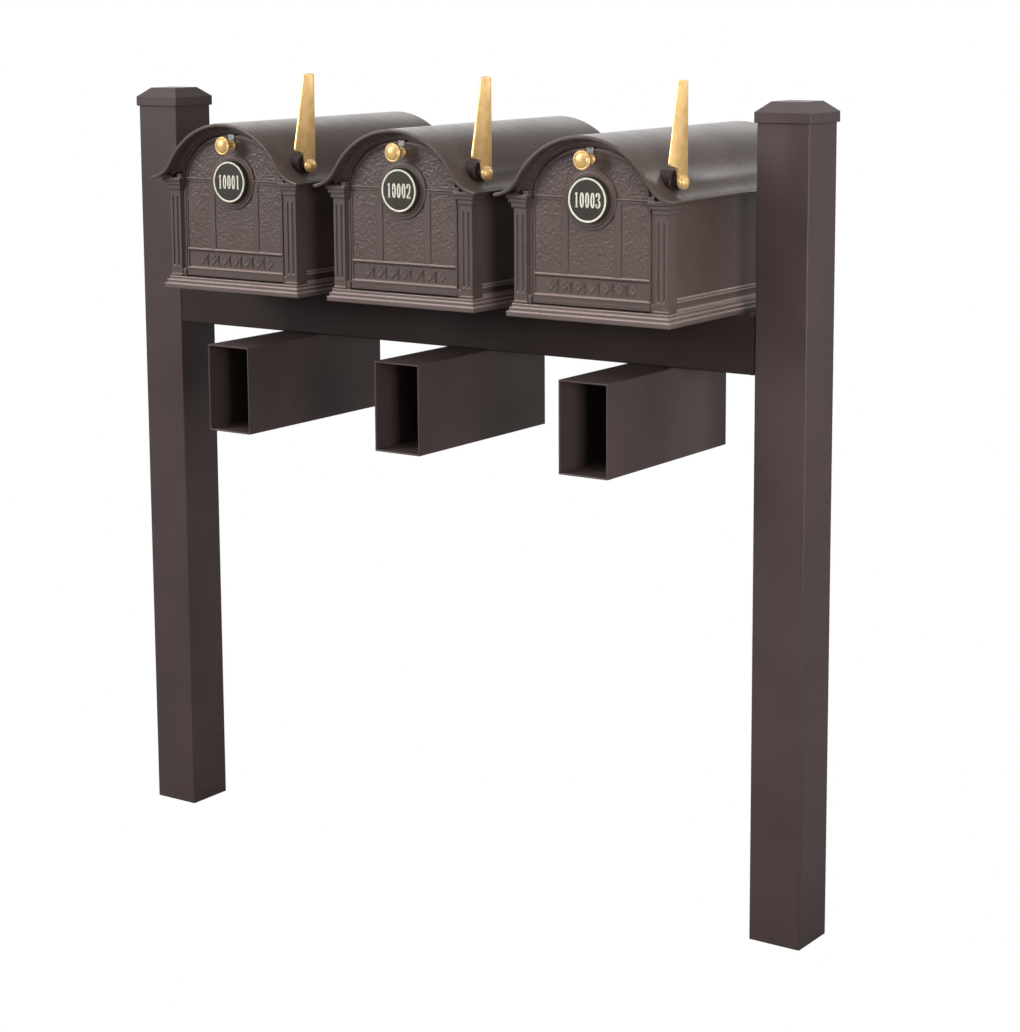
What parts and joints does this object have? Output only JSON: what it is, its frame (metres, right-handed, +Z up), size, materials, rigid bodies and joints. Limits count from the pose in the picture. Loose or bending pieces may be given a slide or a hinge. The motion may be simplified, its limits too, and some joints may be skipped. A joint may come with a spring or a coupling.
{
  "type": "cluster mailbox unit",
  "caption": "Pedestal mailbox unit: two square posts and a cross beam carry cast mailboxes with drop-down arched doors and signal flags above open-fronted newspaper boxes.",
  "frame": {"origin": "on the ground, at the bottom centre of the unit's bounding box, midway between the two posts", "axes": "+Z up; the doors and the newspaper boxes' mouths face -Y; +X to the right of somebody facing the doors"},
  "size_m": [1.5454, 0.548, 1.541],
  "materials": {
    "post_powder_coat": "satin powder coat, dark bronze",
    "beam_powder_coat": "satin powder coat, dark bronze",
    "casting": "satin powder coat over cast aluminium, with pebbled panels",
    "sheet_powder_coat": "satin powder coat over sheet metal",
    "plate_black": "satin, near black, with a cream ring",
    "gold_finish": "satin gold",
    "fastener_steel": "plain steel",
    "magnet_black": "matte"
  },
  "bodies": {
    "frame": {"left_post": "post_powder_coat", "right_post": "post_powder_coat", "left_post_cap": "post_powder_coat", "right_post_cap": "post_powder_coat", "cross_beam": "beam_powder_coat", "left_beam_bracket": "beam_powder_coat", "right_beam_bracket": "beam_powder_coat", "bracket_bolts": "fastener_steel", "beam_screws": "fastener_steel", "mailbox_bolts": "fastener_steel", "newspaper_box_bolts": "fastener_steel", "mailbox_1_body": "casting", "mailbox_1_surround": "casting", "mailbox_1_roof": "casting", "mailbox_1_rear_panel": "casting", "mailbox_1_hinge_pins": "fastener_steel", "mailbox_1_catch": "magnet_black", "mailbox_1_flag_mount": "beam_powder_coat", "mailbox_1_flag_pivot": "gold_finish", "mailbox_1_base_channel": "beam_powder_coat", "newspaper_box_1": "sheet_powder_coat", "mailbox_2_body": "casting", "mailbox_2_surround": "casting", "mailbox_2_roof": "casting", "mailbox_2_rear_panel": "casting", "mailbox_2_hinge_pins": "fastener_steel", "mailbox_2_catch": "magnet_black", "mailbox_2_flag_mount": "beam_powder_coat", "mailbox_2_flag_pivot": "gold_finish", "mailbox_2_base_channel": "beam_powder_coat", "newspaper_box_2": "sheet_powder_coat", "mailbox_3_body": "casting", "mailbox_3_surround": "casting", "mailbox_3_roof": "casting", "mailbox_3_rear_panel": "casting", "mailbox_3_hinge_pins": "fastener_steel", "mailbox_3_catch": "magnet_black", "mailbox_3_flag_mount": "beam_powder_coat", "mailbox_3_flag_pivot": "gold_finish", "mailbox_3_base_channel": "beam_powder_coat", "newspaper_box_3": "sheet_powder_coat"},
    "door_1": {"mailbox_1_door": "casting", "mailbox_1_knob": "gold_finish", "mailbox_1_number_plate": "plate_black", "mailbox_1_strike": "fastener_steel"},
    "door_2": {"mailbox_2_door": "casting", "mailbox_2_knob": "gold_finish", "mailbox_2_number_plate": "plate_black", "mailbox_2_strike": "fastener_steel"},
    "door_3": {"mailbox_3_door": "casting", "mailbox_3_knob": "gold_finish", "mailbox_3_number_plate": "plate_black", "mailbox_3_strike": "fastener_steel"},
    "flag_1": {"mailbox_1_flag": "gold_finish"},
    "flag_2": {"mailbox_2_flag": "gold_finish"},
    "flag_3": {"mailbox_3_flag": "gold_finish"}
  },
  "joints": [
    {"name": "door_1_hinge", "type": "hinge", "parent": "frame", "child": "door_1", "pos_m": [-0.348, -0.235, 1.1575], "axis": [1, 0, 0], "range_deg": [0, 90]},
    {"name": "door_2_hinge", "type": "hinge", "parent": "frame", "child": "door_2", "pos_m": [0.054, -0.235, 1.1575], "axis": [1, 0, 0], "range_deg": [0, 90]},
    {"name": "door_3_hinge", "type": "hinge", "parent": "frame", "child": "door_3", "pos_m": [0.456, -0.235, 1.1575], "axis": [1, 0, 0], "range_deg": [0, 90]},
    {"name": "flag_1_pivot", "type": "hinge", "parent": "frame", "child": "flag_1", "pos_m": [-0.188, -0.207, 1.371], "axis": [1, 0, 0], "range_deg": [-90, 0]},
    {"name": "flag_2_pivot", "type": "hinge", "parent": "frame", "child": "flag_2", "pos_m": [0.214, -0.207, 1.371], "axis": [1, 0, 0], "range_deg": [-90, 0]},
    {"name": "flag_3_pivot", "type": "hinge", "parent": "frame", "child": "flag_3", "pos_m": [0.616, -0.207, 1.371], "axis": [1, 0, 0], "range_deg": [-90, 0]}
  ]
}
